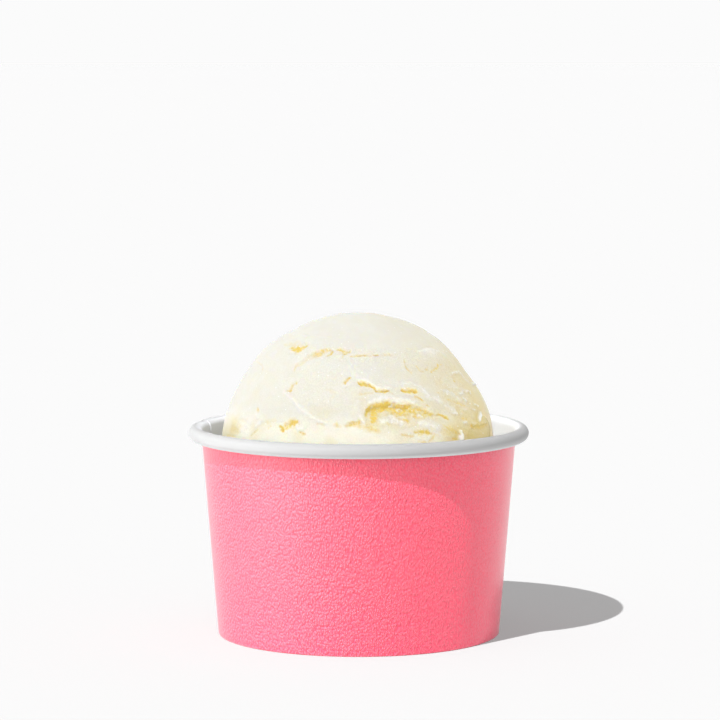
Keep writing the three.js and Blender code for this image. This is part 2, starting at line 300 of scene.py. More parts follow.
# The board's closed section: (face, r, z, nr, nz, lap) for each point.
def boardProfile():
    out = (math.cos(wallLean), -math.sin(wallLean))
    channel = 2 * cup["board"] + 2 * cup["fit"]

    def spot(face, r, z, normal, lap=None):
        share = float(smoothstep(z, cup["pressedTo"], cup["fullLapAt"])) if lap is None else lap
        return (face, r, z, normal[0], normal[1], share)

    heights = np.linspace(cup["pressedTo"], cup["fullLapAt"], 5).tolist() + list(cup["heights"])
    hem = (-out[0], -out[1])
    printed = [spot("printed", wallRadius(cup["hemHeight"], channel + cup["board"]),
                    cup["hemHeight"], hem, 0)]
    corner = cup["footCorner"]
    inner = wallRadius(corner, channel + cup["board"]) + corner
    outer = wallRadius(corner) - corner
    for centre, start in ((inner, 180), (outer, 270)):
        for angle in range(start, start + 91, cup["cornerStep"]):
            c, s = turned(angle)
            printed.append(spot("printed", centre + corner * c, corner + corner * s, (c, s), 0))
    inside = [
        spot("inside", wallRadius(cup["hemHeight"], channel), cup["hemHeight"], hem, 0),
        spot("inside", wallRadius(cup["board"], channel), cup["board"], hem, 0),
        spot("inside", wallRadius(cup["board"], cup["board"]), cup["board"], out),
    ]
    for z in heights:
        printed.append(spot("printed", wallRadius(z), z, out))
        inside.append(spot("inside", wallRadius(z, cup["board"]), z, out))
    startAngle = 180 - math.degrees(wallLean)
    for step in range(cup["curlSteps"] + 1):
        c, s = turned(startAngle - cup["curlSweep"] * step / cup["curlSteps"])
        for side, face, radius in ((printed, "printed", curlRadius - cup["board"]),
                                   (inside, "inside", curlRadius)):
            side.append(spot(face, curlR + radius * c, curlZ + radius * s, (-c, -s),
                             cup["lapInCurl"]))
    return inside + printed[::-1]


def lapLift(face, angle):
    edge, ramp = cup["innerFlapEdge"], cup["flapRamp"]
    settling = cup["board"] * (1 - float(smoothstep(angle, edge, edge + ramp)))
    if face == "inside":
        return 0.0 if angle <= edge else settling
    if angle < cup["outerFlapEdge"]:
        return 0.0
    return cup["board"] if angle <= edge else settling


def wallAngles():
    edge, ramp = cup["innerFlapEdge"], cup["flapRamp"]
    seam = [cup["outerFlapEdge"] - cup["cutWidth"], cup["outerFlapEdge"]]
    seam += np.linspace(cup["outerFlapEdge"], edge, cup["lapSteps"] + 1)[1:].tolist()
    seam.append(edge + cup["cutWidth"])
    seam += np.linspace(edge, edge + ramp, cup["rampSteps"] + 1)[1:].tolist()
    even = [360 * i / cup["steps"] for i in range(cup["steps"])]
    clear = 0.6  # degrees kept between an even step and the seam's own
    return sorted([a for a in even if a < seam[0] - clear or a > seam[-1] + clear] + seam)


def makeWall():
    angles = wallAngles()
    turn = np.radians(angles)
    profile = boardProfile()
    rings = []
    for face, r, z, nr, nz, lap in profile:
        lift = np.array([lap * lapLift(face, angle) for angle in angles])
        rings.append(ringAt(r + nr * lift, turn, z + nz * lift))
    points, faces, bandOf = closedGrid(rings, True)
    wall = newPiece("paper_cup_wall", points, faces, [whiteBoard, printedBoard], 35)
    kinds = [spot[0] for spot in profile]
    printedBand = [kind == follower == "printed"
                   for kind, follower in zip(kinds, kinds[1:] + kinds[:1])]
    slots = np.array([printedBand[band] for band in bandOf], np.int32)
    wall.data.polygons.foreach_set("material_index", slots)
    return wall


def makeFloor():
    outside = cup["board"] + cup["fit"]
    skirtEnd = outside + cup["skirtPlay"]
    top, thick, bend = cup["floorHeight"], cup["board"], cup["floorBend"]
    edge = wallRadius(top - bend, outside)
    section = [(edge - bend, top)]
    for angle in range(90 - cup["cornerStep"], -1, -cup["cornerStep"]):
        c, s = turned(angle)
        section.append((edge - bend + bend * c, top - bend + bend * s))
    section += [(wallRadius(skirtEnd, outside), skirtEnd),
                (wallRadius(skirtEnd, outside + thick), skirtEnd)]
    for angle in range(0, 91, cup["cornerStep"]):
        c, s = turned(angle)
        section.append((edge - bend + (bend - thick) * c, top - bend + (bend - thick) * s))
    turn = np.linspace(0, 2 * math.pi, cup["floorSteps"], endpoint=False)
    rings = [ringAt(r, turn, z) for r, z in section]
    rings = [np.array([[0, 0, top]])] + rings + [np.array([[0, 0, top - thick]])]
    points, faces, _ = closedGrid(rings, False)
    return newPiece("paper_cup_floor", points, faces, [whiteBoard], 35)


wall = makeWall()
floorDisc = makeFloor()
print("cup made:", len(wall.data.polygons), "wall faces")

scoop = {
    "radius": 38.0,
    "centre": (-0.3, 0.0, 52.6),
    "footLatitude": -6.0,  # the ball runs down to here, then spreads to the wall
    "moatDepth": 15.6,
    "wallPlay": 0.1,
    "corner": 1.0,
    "frontReach": 100,  # degrees of bearing each way that count as its front
    "frontStep": 0.54,  # degrees of bearing between points there
    "backStep": 0.86,
    "capStart": 60,  # degrees of latitude where the smooth cap begins
    "capStep": 0.9,
    "sideStep": 0.54,
    "spreadRings": 14,
    "spreadNoise": (2.2, 20.0, 3),  # size of its features in mm, start and octaves
    "spreadRough": 0.35,  # mm
    "drop": 0.25,  # mm over which a torn edge falls away
    "spill": 0.25,  # mm that the gold of a crevice spills over its lip
    "wander": 0.35,  # mm that torn edges stray, slow
    "fray": 0.28,  # mm that torn edges stray, fine
    "lean": 1.1,  # how far lips hang over the hollow beside them
    "grain": 0.07,  # mm of fine icy grain
    "crag": 0.34,  # mm of torn texture where it is rough
    "layer": 0.07,  # mm that one torn layer stands over the next
    "mottle": 0.3,  # how much warm and pale patches alternate low on the ball
    "shadedSideCream": 0.55,  # how much creamier the right side, away from the key light, is painted: painted shade
}

# Places on the ball are [bearing, latitude] in degrees: bearing 0 is the front, growing to
# the right. A tear: its edge, how far its lip lifts, how deep the surface falls on its
# right, how far that reaches, and how much painted golden shade lies inside it.
tears = [
    ([[3, 19], [3, 22], [5.5, 24.5], [9, 25.5], [13.5, 26], [18, 25.5], [23, 24.5], [27, 23.5]],
     0.32, 1.3, 3.0, 0.3),
    ([[26, 24], [31.5, 21.5], [36, 20]], 0.2, 0.5, 2.0, 0.15),
    ([[-36, 38], [-36.5, 41.5], [-33.5, 44.5], [-31, 47], [-26.5, 49.5], [-21.5, 51.5], [-16, 52]],
     0.08, 0.2, 2.0, 0.14),
    ([[-0.5, 34.5], [2, 35], [5, 34.5], [8.5, 32.5]], 0.25, 0.5, 0.8, 0.3),
    ([[8, 31.5], [11.5, 31.5], [15, 31.5]], 0.2, 0.5, 0.8, 0.3),
    ([[21.5, 31.5], [24.5, 31.5], [27.5, 31], [29.5, 30.5]], 0.25, 0.6, 0.9, 0.3),
    ([[-5, 48.5], [0, 49.5], [7, 49.5], [13.5, 49.5], [21, 49.5], [27, 49]], 0.12, 0.3, 0.5, 0.2),
    ([[-6, 45.5], [-1, 42], [3, 39], [6.5, 36.5], [9, 35], [15.5, 32], [19, 31.5]], 0.3, 0, 1, 0),
    ([[-57.5, 54], [-50, 56.5], [-39, 58], [-26.5, 59], [-14.5, 59], [-4.5, 58]], 0.15, 0, 2.2, 0),
    ([[71, 46], [67.5, 48.5], [61, 49.5], [57, 51], [49, 50], [44, 50], [41, 48.5]],
     0.3, 0.12, 1.8, 0.04),
    ([[64.5, 38], [68.5, 37], [73.5, 37], [76.5, 36.5]], 0.3, 0.3, 0.8, 0.1),
    ([[56, 13.5], [60, 13.5], [65.5, 12.5], [74.5, 12]], 0.2, 0.5, 0.9, 0.25),
    ([[-34, 15], [-32.5, 16.5], [-30.5, 17.5], [-27.5, 17]], 0.1, 0.25, 1.6, 0.3),
    ([[-5.5, 16.5], [-2.5, 17.5], [0.5, 18], [3, 18]], 0.2, 0.4, 1.3, 0.25),
]

# A pocket, nick or crease: its middle line with its width in mm as a third value, how deep
# it sinks and how much painted golden shade it holds.
pockets = [
    ([[0, 34.5, 0.3], [1.5, 34, 0.7], [3.5, 33.5, 1.1], [6, 33, 1.1], [8.5, 31.5, 0.7]], 0.5, 0.85),
    ([[9, 30.5, 0.5], [11, 30.5, 0.8], [13, 30.5, 1.1], [14.5, 31, 0.7]], 0.5, 0.8),
    ([[14.5, 30.5, 0.4], [17, 29, 0.3]], 0.1, 0.3),
    ([[1, 29, 0.8], [4.5, 29, 0.8], [7.5, 29.5, 0.6]], 0.1, 0.22),
    ([[22, 31, 0.6], [23.5, 30, 1.0], [26, 30, 1.2], [29, 30, 0.8]], 0.55, 0.9),
    ([[28, 27.5, 0.6], [29, 27.5, 0.5]], 0.3, 0.6),
    ([[29.5, 27, 0.6], [30.5, 26, 0.8], [32, 25.5, 0.5]], 0.3, 0.6),
    ([[32.5, 23.5, 0.4], [33.5, 23, 0.3]], 0.25, 0.5),
    # high on the left and along the band below the cap
    ([[-48, 50.5, 1.2], [-44.5, 50.5, 2.2], [-40, 50, 2.4], [-37.5, 52, 1.2]], 0.4, 1.05),
    ([[-56.5, 52, 1.4], [-48, 53, 2.3], [-39.5, 53.5, 1.4]], 0.2, 0.22),
    ([[-35.5, 38.5, 0.6], [-35.5, 40.5, 0.7], [-34, 42, 1.6], [-32, 44, 1.6], [-27, 47.5, 2.2]],
     0.15, 0.2),
    ([[-27, 47.5, 2.0], [-24.5, 49, 2.1], [-21.5, 51, 1.4], [-18, 51.5, 0.8], [-16.5, 50, 0.7],
      [-18.5, 47.5, 0.6]], 0.3, 0.42),
    ([[-14, 52, 0.7], [-10.5, 52, 1.0], [-7.5, 50.5, 1.0], [-5, 51.5, 0.7]], 0.25, 0.5),
    ([[-8, 50, 0.4], [-9.5, 47.5, 0.3]], 0.2, 0.45),
    ([[-4.5, 48.5, 0.3], [-0.5, 48.5, 0.5], [3.5, 49, 0.7], [6, 49, 0.5], [8.5, 48.5, 0.3]],
     0.25, 0.6),
    ([[10.5, 49, 0.3], [13.5, 49.5, 0.4]], 0.2, 0.5),
    ([[29, 45.5, 0.3], [28.5, 42.5, 0.5], [29.5, 41, 0.5], [30.5, 39, 0.3]], 0.2, 0.4),
    ([[35.5, 42.5, 0.3], [37, 40, 0.5], [39, 39.5, 0.4]], 0.2, 0.35),
    ([[41, 41, 0.5], [42, 40, 0.5], [44, 41.5, 0.3]], 0.2, 0.4),
    ([[44.5, 38.5, 0.4], [48.5, 40, 0.5], [53, 41.5, 0.6], [54, 43, 0.3]], 0.2, 0.5),
    ([[53.5, 42, 0.5], [59, 42.5, 0.3]], 0.2, 0.45),
    ([[49.5, 66.5, 0.5], [53, 65, 0.5]], 0.1, 0.16),
    ([[36.5, 52.5, 0.5], [40.5, 52, 0.5]], 0.1, 0.14),
    # inside the big hollow
    ([[3.5, 20, 0.7], [4, 22, 1.0], [5.5, 23.5, 1.1]], 0.25, 0.7),
    ([[7, 18, 1.2], [7, 22, 2.1], [8.5, 23, 2.5], [11, 23.5, 2.5], [14.5, 24.5, 2.0]], 0.3, 1.0),
    ([[14, 23.5, 3.0], [18, 22.5, 3.4], [22, 22, 3.4], [25.5, 21, 2.4]], 0.2, 0.6),
    ([[25.5, 22, 1.4], [29.5, 21.5, 1.4], [33, 20, 1.1], [35.5, 19, 0.8]], 0.15, 0.35),
    ([[17, 20.5, 1.1], [19.5, 18.5, 1.7], [22, 17, 1.1]], 0.1, 0.45),
    ([[26, 19, 1.1], [28.5, 18, 1.7], [31, 19.5, 1.1]], 0.1, 0.4),
    ([[12.5, 16.5, 0.7], [13.5, 16, 0.6]], 0.1, 0.4),
    # below it and to its right
    ([[-4.5, 16, 0.8], [-1, 16.5, 1.6], [2, 16, 2.0], [5.5, 14.5, 1.9], [8.5, 13.5, 1.2]],
     0.2, 0.4),
    ([[-3, 17, 0.6], [-0.5, 17.5, 0.7], [2, 18, 0.6]], 0.25, 0.4),
    ([[18.5, 11.5, 0.5], [20.5, 11.5, 0.8], [23.5, 11, 0.6]], 0.2, 0.5),
    ([[24.5, 12.5, 0.7], [27.5, 12.5, 1.3], [30, 12, 1.1], [32, 11.5, 0.6]], 0.3, 0.62),
    ([[34, 11, 0.5], [33, 10, 0.6], [31, 8.5, 0.6]], 0.2, 0.45),
    ([[26, 8.5, 0.5], [29, 8, 0.7]], 0.2, 0.5),
    ([[37, 19, 0.4], [39, 19, 0.5], [41, 18, 0.7], [43, 17, 0.5]], 0.45, 1.0),
    ([[38.5, 15, 0.3], [41, 13.5, 0.5], [44, 11.5, 0.4]], 0.2, 0.45),
    ([[42, 14.5, 0.3], [44.5, 12.5, 0.5], [46.5, 11, 0.3]], 0.2, 0.4),
    ([[37.5, 14, 0.3], [39.5, 12.5, 0.3], [41.5, 11.5, 0.3]], 0.2, 0.3),
    ([[43.5, 8.5, 0.7], [46, 8, 0.8]], 0.2, 0.7),
    # on the right
    ([[60, 34, 0.6], [60.5, 33, 0.7]], 0.2, 0.3),
    ([[42, 28.5, 0.4], [42.5, 28.5, 0.3]], 0.2, 0.4),
    ([[45.5, 26.5, 0.3], [46, 26.5, 0.3]], 0.2, 0.35),
    ([[47, 25.5, 0.7], [50.5, 24, 0.7], [54.5, 22.5, 1.1], [57.5, 22, 0.6]], 0.15, 0.3),
    ([[52.5, 17, 1.1], [55, 16, 1.0]], 0.2, 0.35),
    ([[57.5, 13.5, 0.5], [59.5, 12, 0.8], [63.5, 11.5, 0.9], [69.5, 11, 0.8], [74.5, 11.5, 0.5]],
     0.3, 0.5),
    # low on the left
    ([[-33.5, 13.5, 0.8], [-31.5, 15, 1.8], [-29.5, 16, 2.0], [-27.5, 16.5, 1.3]], 0.3, 0.8),
    ([[-35.5, 14.5, 0.8], [-34.5, 13.5, 0.9], [-33.5, 12.5, 0.8]], 0.4, 1.1),
    ([[-25.5, 13, 0.3], [-24, 12, 0.8], [-23, 12, 0.6]], 0.3, 0.5),
    ([[-36, 29.5, 0.3], [-34, 29.5, 0.8], [-34, 31, 0.8], [-33.5, 32.5, 0.6], [-31.5, 33.5, 0.3]],
     0.3, 0.5),
    ([[-6.5, 34, 0.6], [-5.5, 35.5, 0.7], [-3.5, 37, 0.5]], 0.3, 0.55),
    ([[-51, 20.5, 0.7], [-50, 19.5, 0.6]], 0.3, 0.5),
    ([[-67.5, 10, 2.0], [-62, 10.5, 2.0]], 0.15, 0.34),
    ([[-62, 14.5, 1.4], [-57, 15, 1.4]], 0.1, 0.16),
    ([[-73.5, 7, 0.8], [-63.5, 7.5, 0.7]], 0.1, 0.5),
    ([[-51.5, 9, 0.3], [-49.5, 10.5, 0.5], [-47.5, 12, 0.4]], 0.2, 0.35),
    ([[-42, 13.5, 0.3], [-40.5, 14, 0.4]], 0.2, 0.45),
    ([[-45.5, 14.5, 1.1], [-41.5, 16, 1.4], [-38.5, 17, 0.8]], 0.1, 0.16),
    ([[-77.5, 41, 0.4], [-63.5, 39.5, 0.5], [-59, 37, 0.4], [-60.5, 34, 0.3]], 0.1, 0.2),
    ([[-17.5, 16.5, 0.8], [-15, 16.5, 1.0]], 0.15, 0.34),
    ([[-9.5, 16, 1.1], [-7.5, 15, 0.8]], 0.2, 0.36),
    ([[-14.5, 31, 1.1], [-11, 29, 1.4], [-12.5, 26, 1.1]], 0.1, 0.1),
    ([[-22, 21.5, 0.3], [-19.5, 19.5, 0.3]], 0.1, 0.28),
]

# A frosted crest, crumb or icy chip: its line with widths, and how high it stands.
crests = [
    ([[-37.5, 29, 0.7], [-32.5, 26.5, 1.4], [-28, 24, 1.4], [-23, 20.5, 1.4], [-17.5, 18, 1.1],
      [-14, 17, 0.7]], 0.3),
    ([[-4, 42, 1.1], [0, 38, 2.0], [4.5, 35.5, 2.0], [8.5, 33, 1.7], [15, 32, 1.1]], 0.2),
    ([[5, 25.5, 0.8], [9.5, 27, 1.4], [15, 27.5, 1.4], [21, 26.5, 1.4], [26.5, 25.5, 1.4]], 0.2),
    ([[32, 32, 0.8], [33.5, 29.5, 1.4], [35.5, 27, 1.1]], 0.3),
    ([[23, 33.5, 0.8], [27, 33.5, 1.1], [31, 32, 0.8]], 0.25),
    ([[14.5, 24, 0.5], [16, 24.5, 0.7]], 0.5),
    ([[18, 22, 0.4], [19.5, 23, 0.5], [20.5, 22, 0.5]], 0.45),
    ([[18.5, 19, 0.6], [21, 18.5, 0.6]], 0.4),
    ([[27.5, 19, 0.8], [29, 18.5, 0.7]], 0.4),
    ([[1.5, 18.5, 0.6], [2.5, 17, 0.7]], 0.5),
    ([[10.5, 17.5, 1.6], [14.5, 18, 2.0], [19, 16.5, 1.9]], 0.22),
    ([[0.5, 25, 1.4], [-0.5, 22, 2.2], [1, 19.5, 1.4]], 0.2),
    ([[28, 16, 2.3], [32.5, 15, 2.5], [36.5, 13.5, 2.0]], 0.35),
    ([[31.5, 12.5, 0.8], [35, 11.5, 1.1], [37.5, 10.5, 0.8]], 0.3),
    ([[-27, 15.5, 0.8], [-26.5, 14, 1.1], [-23.5, 14, 0.8]], 0.4),
    ([[-50, 18, 1.7], [-46, 16, 1.7], [-49, 13.5, 1.1]], 0.3),
    ([[-45.5, 48, 0.7], [-42.5, 48, 0.7]], 0.4),
    ([[-43, 54, 0.7], [-40, 53, 0.6]], 0.3),
    ([[-67, 57.5, 1.1], [-58, 59, 1.4], [-45.5, 58, 1.1]], 0.2),
    ([[-6.5, 32.5, 0.8], [-4.5, 33.5, 0.8]], 0.25),
    # on the right
    ([[67.5, 17.5, 0.7], [66.5, 16, 1.0], [64, 14.5, 0.8]], 0.9),
    ([[48, 11.5, 0.3], [48.5, 10, 0.8], [48.5, 8, 1.7]], 1.0),
    ([[57.5, 27, 0.6], [62, 28, 0.7]], 0.5),
    ([[63.5, 27.5, 0.6], [67, 27.5, 0.5]], 0.5),
    ([[68.5, 27, 0.4], [67.5, 26, 0.5]], 0.5),
    ([[59, 24.5, 0.7], [60, 23.5, 0.5]], 0.5),
    ([[66, 21, 0.5], [69, 20, 0.5]], 0.5),
    ([[61.5, 20, 0.3], [64, 19, 0.3]], 0.4),
    ([[52.5, 15, 0.5], [54.5, 14.5, 0.6]], 0.5),
    ([[47, 19, 0.4], [48.5, 19, 0.3]], 0.4),
    ([[34, 27, 1.1], [38.5, 26, 1.4], [42.5, 24.5, 1.1]], 0.25),
    ([[44, 23, 1.1], [46.5, 21, 1.7], [49, 19, 1.1]], 0.25),
    ([[47, 29, 1.1], [50.5, 28, 1.4], [54.5, 26, 1.1]], 0.2),
    ([[62, 37, 0.6], [67, 37, 0.7], [73.5, 36, 0.6]], 0.35),
    ([[72.5, 35.5, 0.6], [73, 33, 0.8], [76.5, 31, 0.6]], 0.3),
    ([[80, 29.5, 0.8], [87, 28.5, 0.8]], 0.7),
    ([[69, 47.5, 0.3], [70, 44, 0.4], [70, 40, 0.3]], 0.15),
    ([[78.5, 47.5, 0.3], [76.5, 43, 0.4], [75.5, 39, 0.3]], 0.15),
    ([[43.5, 50, 1.0], [49, 50.5, 1.4], [57, 51, 1.4], [62, 50, 1.0], [68.5, 46, 0.8]], 0.3),
]

# Where the ball swells out or draws in from round: middle, size and height in mm.
bulges = [
    ([-85, 11], [40, 13], 0.8),
    ([-85, 46], [36, 40], -0.3),
    ([85, 15], [40, 17], 0.75),
    ([85, 36], [34, 11], -0.5),
    ([70, 84], [40, 24], 0.3),
]

# Round the sides and back, drawn from this seed.
drawn = {
    "seed": 20417,
    "count": 15,
    "bearings": (112, 252),
    "latitudes": (14, 54),
    "halfLengths": (8, 20),
    "strays": (-6, 6),  # of a middle from its even place
    "slopes": (-9, 9),
    "arches": (0, 6),
    "lips": (0.3, 0.8),
    "depths": (0.6, 1.6),
    "reaches": (2, 4),
    "golden": 0.55,
}

# Where the surface is torn and crumbly rather than smooth: middle, size in mm, how much.
roughPatches = [
    ([21, 19.5], [26, 8], 0.9),
    ([5, 49], [46, 7], 0.6),
    ([-18, 32], [24, 20], 0.3),
    ([14, 31], [26, 8], 0.4),
    ([56, 30], [17, 28], 0.85),
    ([38, 44], [16, 8], 0.6),
    ([32, 11], [28, 5], 0.6),
    ([-58, 12], [13, 6], 0.4),
    ([-30, 15], [14, 5], 0.4),
    ([135, 35], [22, 24], 0.7),
    ([180, 25], [40, 14], 0.6),
    ([225, 38], [26, 20], 0.7),
]

# Warmer and yellower patches, one of them painted shade in the big hollow, and whiter frosted ones.
warmPatches = [
    ([65, 9], [15, 6.5], 1.0),
    ([64, 8], [12, 4], 0.6),
    ([46, 11], [9, 4], 0.4),
    ([-69, 10.5], [16, 8.5], 0.6),
    # painted shade in the big hollow
    ([18, 20], [24, 7], 0.42),
    ([34, 14], [22, 7], 0.12),
    ([68, 20], [26, 18], 0.3),
    ([10, 5], [70, 3], 0.3),
    ([200, 12], [60, 5], 0.5),
]
frostPatches = [
    ([-18, 42], [16, 8], 0.8),
    ([-22, 55], [26, 4], 0.7),
    ([12, 54], [30, 4], 0.6),
    ([3, 38], [9, 6], 0.6),
    ([20, 35], [9, 4], 0.6),
    ([10, 28.6], [18, 2.4], 0.6),
    ([56, 49], [12, 4], 0.9),
    ([57, 30], [7, 8], 0.5),
    ([58, 26], [7, 6], 0.7),
    ([-32, 25], [4, 8], 0.4),
    ([-45, 22], [12, 10], 0.5),
    ([-15, 28], [14, 8], 0.5),
    ([23, 12.5], [14, 3.5], 0.6),
    ([-1, 23], [5, 6], 0.5),
]


# Even draws by a fixed rule, so that each run gives the same ones.
def makeDraw(seed):
    state = [seed]
    factor, modulus = 16807, 2147483647

    def draw(low, high):
        state[0] = (state[0] * factor) % modulus
        return low + (high - low) * state[0] / modulus
    return draw


def drawnTears():
    draw = makeDraw(drawn["seed"])
    made = []
    for i in range(drawn["count"]):
        share = (i + 0.5) / drawn["count"]
        low, high = drawn["bearings"]
        middle = low + (high - low) * share + draw(*drawn["strays"])
        latitude = draw(*drawn["latitudes"])
        half = draw(*drawn["halfLengths"])
        slope = draw(*drawn["slopes"])
        arch = draw(*drawn["arches"])
        edge = [[middle - half, latitude + slope], [middle - half / 3, latitude + arch],
                [middle + half / 3, latitude + arch], [middle + half, latitude - slope]]
        lip = draw(*drawn["lips"])
        depth = draw(*drawn["depths"])
        made.append((edge, lip, depth, draw(*drawn["reaches"]), drawn["golden"]))
    return made


perDegree = math.radians(1) * scoop["radius"]  # mm


def turnFrom(bearing, middle):
    return (bearing - middle + 180) % 360 - 180


# Points along a Catmull-Rom curve through the control points.
def splinePoints(control, count):
    p = np.array(control, float)
    t = np.linspace(0, len(p) - 1, count)
    i = np.minimum(t.astype(int), len(p) - 2)
    w = (t - i)[:, None]
    p0, p1 = p[np.maximum(i - 1, 0)], p[i]
    p2, p3 = p[i + 1], p[np.minimum(i + 2, len(p) - 1)]
    v0, v1 = (p2 - p0) / 2, (p3 - p1) / 2
    return ((2 * p1 - 2 * p2 + v0 + v1) * w**3
            + (3 * p2 - 3 * p1 - 2 * v0 - v1) * w**2 + v0 * w + p1)


# Signed side, distance in mm and share along a line, for arrays of places.
def fromEdge(line, bearing, latitude):
    across = perDegree * np.cos(np.radians(latitude))
    best = np.full(bearing.shape, 1e9)
    side = np.ones(bearing.shape)
    along = np.zeros(bearing.shape)
    turns = [turnFrom(p[0], bearing) * across for p in line]
    rises = [(p[1] - latitude) * perDegree for p in line]
    for i in range(len(line) - 1):
        ax, ay, bx, by = turns[i], rises[i], turns[i + 1], rises[i + 1]
        sx, sy = bx - ax, by - ay
        t = np.clip(-(ax * sx + ay * sy) / (sx * sx + sy * sy + 1e-9), 0, 1)
        nx, ny = ax + sx * t, ay + sy * t
        distance = np.hypot(nx, ny)
        closer = distance < best
        best = np.where(closer, distance, best)
        side = np.where(closer, np.sign(sx * ny - sy * nx), side)
        along = np.where(closer, (i + t) / (len(line) - 1), along)
    return best, side, along


# Which places lie within reach of a line, as a mask.
def nearLine(line, bearing, latitude, span):
    mid = (line.max(0) + line.min(0)) / 2
    half = (line.max(0) - line.min(0)) / 2 * perDegree
    aside = np.abs(turnFrom(bearing, mid[0])) * perDegree * np.cos(np.radians(latitude))
    above = np.abs(latitude - mid[1]) * perDegree
    return (aside < half[0] + span) & (above < half[1] + span)


def addTear(tear, bearing, latitude, relief, glow):
    edge, lip, depth, reach, golden = tear
    line = splinePoints(edge, 4 * len(edge))
    near = nearLine(line, bearing, latitude, 4 * reach + 2)
    if not near.any():
        return
    distance, side, along = fromEdge(line, bearing[near], latitude[near])
    strength = 0.2 + 0.8 * between(along, 0, 0.2, 0.8, 1)
    lifted = lip * np.exp(-distance / reach)
    fall = 1 - np.exp(-distance / scoop["drop"])
    within = fall * np.exp(-((distance / reach) ** 2))
    value = strength * np.where(side < 0, lifted, lip * (1 - fall) - depth * within)
    relief[near] += np.where(distance > 4 * reach, 0, value)
    spill = np.where(side < 0, np.exp(-distance / scoop["spill"]),
                     np.exp(-((distance / reach) ** 3)))
    glow[near] = np.maximum(glow[near], golden * strength * spill)


# A pocket sinks by its depth and gets painted gold shade, a crest has a negative depth and whitens.
def addPocket(points, depth, tone, bearing, latitude, relief, glow):
    line = splinePoints(points, 4 * len(points))
    near = nearLine(line[:, :2], bearing, latitude, 2 * line[:, 2].max() + 1)
    distance, _, along = fromEdge(line, bearing[near], latitude[near])
    width = np.interp(along, np.linspace(0, 1, len(line)), line[:, 2])
    relief[near] -= depth * np.exp(-((2 * distance / width) ** 2.4))
    glow[near] = np.maximum(glow[near], tone * np.exp(-((1.7 * distance / width) ** 2.4)))


def patchShare(patch, bearing, latitude, sharpness=2):
    middle, size, much = patch
    x = (turnFrom(bearing, middle[0]) * perDegree
         * np.cos(np.radians(latitude)) / (size[0] / 2))
    y = (latitude - middle[1]) * perDegree / (size[1] / 2)
    return much * np.exp(-((x * x + y * y) ** (sharpness / 2)))


# Noise at each point, with features of this size in mm, starting at this shift.
def noiseOver(points, size, shift, octaves=1):
    falloff, finer = 0.8, 2.1  # of each octave against the one before
    scaled = (points / size + shift).tolist()
    if octaves == 1:
        return np.array([noise.noise(p) for p in scaled])
    return np.array([noise.fractal(p, falloff, finer, octaves) for p in scaled])


def swell(direction, latitude):
    x, y, z = direction[..., 0], direction[..., 1], direction[..., 2]
    waves = (0.32 * np.sin(2.3 * x + 3.1 * z + 0.6) + 0.26 * np.sin(4.7 * y - 2.2 * x + 1.9)
             + 0.2 * np.sin(6.1 * z + 3.4 * x - 0.8) + 0.14 * np.sin(9.2 * x + 7.3 * y + 2.5))
    return waves * (0.35 + 0.65 * smoothstep(latitude, 0, 25))


# Gaussian blur of a grid that wraps round in bearing.
def blur(grid, sizeMm, rowMm, columnMm):
    def kernel(sigma):
        half = max(1, int(3 * sigma))
        k = np.exp(-0.5 * (np.arange(-half, half + 1) / max(sigma, 0.3)) ** 2)
        return k / k.sum(), half
    k, half = kernel(sizeMm / rowMm)
    padded = np.pad(grid, ((half, half), (0, 0)), mode="edge")
    rows = sum(k[i] * padded[i:i + grid.shape[0]] for i in range(len(k)))
    k, half = kernel(sizeMm / columnMm)
    padded = np.pad(rows, ((0, 0), (half, half)), mode="wrap")
    return sum(k[i] * padded[:, i:i + grid.shape[1]] for i in range(len(k)))


def gelatoGrid():
    reach, capStart = scoop["frontReach"], scoop["capStart"]
    front = np.arange(-reach, reach, scoop["frontStep"])
    back = np.arange(reach, 360 - reach, scoop["backStep"])
    bearings = np.concatenate([front, back[back < 360 - reach - scoop["frontStep"]]])
    cap = np.arange(90 - scoop["capStep"], capStart, -scoop["capStep"])
    sides = np.arange(capStart, scoop["footLatitude"], -scoop["sideStep"])
    latitudes = np.concatenate([cap, sides, [scoop["footLatitude"]]])
    return np.meshgrid(bearings, latitudes)


def onBall(bearing, latitude):
    b, l = np.radians(bearing), np.radians(latitude)
    return np.stack([np.cos(l) * np.sin(b), -np.cos(l) * np.cos(b), np.sin(l)], -1)


# The small relief. Each noise has the size of its features in mm, its start and its octaves.
texture = {
    "wanderSize": 3.0,
    "fraySize": 1.0,
    "frayStart": 4.2,
    "strayStarts": (5.1, 31.7),
    "flakes": (1.7, 12.0, 3),
    "flakeLean": ((0.5, 0, 0.2), (0, 0.5, 0), (-0.3, 0, 1.2)),
    "flakeLevel": 0.3,
    "crumbs": (0.9, 3.0, 3),
    "flakeShare": 1.3,
    "crumbShare": 0.55,
    "layers": (4.6, 23.0, 3),
    "layerLean": ((0.55, 0, 0.25), (0, 0.7, 0), (-0.3, 0, 1.3)),
    "layerLevels": (-0.45, -0.15, 0.15, 0.45),
    "layerEdge": 0.05,
    "slow": (7.0, 60.0, 2),
    "slowHeight": 0.14,  # mm
    "streaks": (1.0, 7.0, 2),
    "streakScale": (1.1, 0.09),  # to the degree, round the ball and up it
    "streakHeight": 0.10,  # mm
    "grain": (0.55, 80.0, 2),
    "soften": 0.9,  # mm of blur that tells ridges and dips from the slower form
    "dipDepth": 0.35,  # mm below the softened surface that counts as a full dip
    "ridgeHeight": 0.3,
    "leanMost": 0.6,  # mm
}


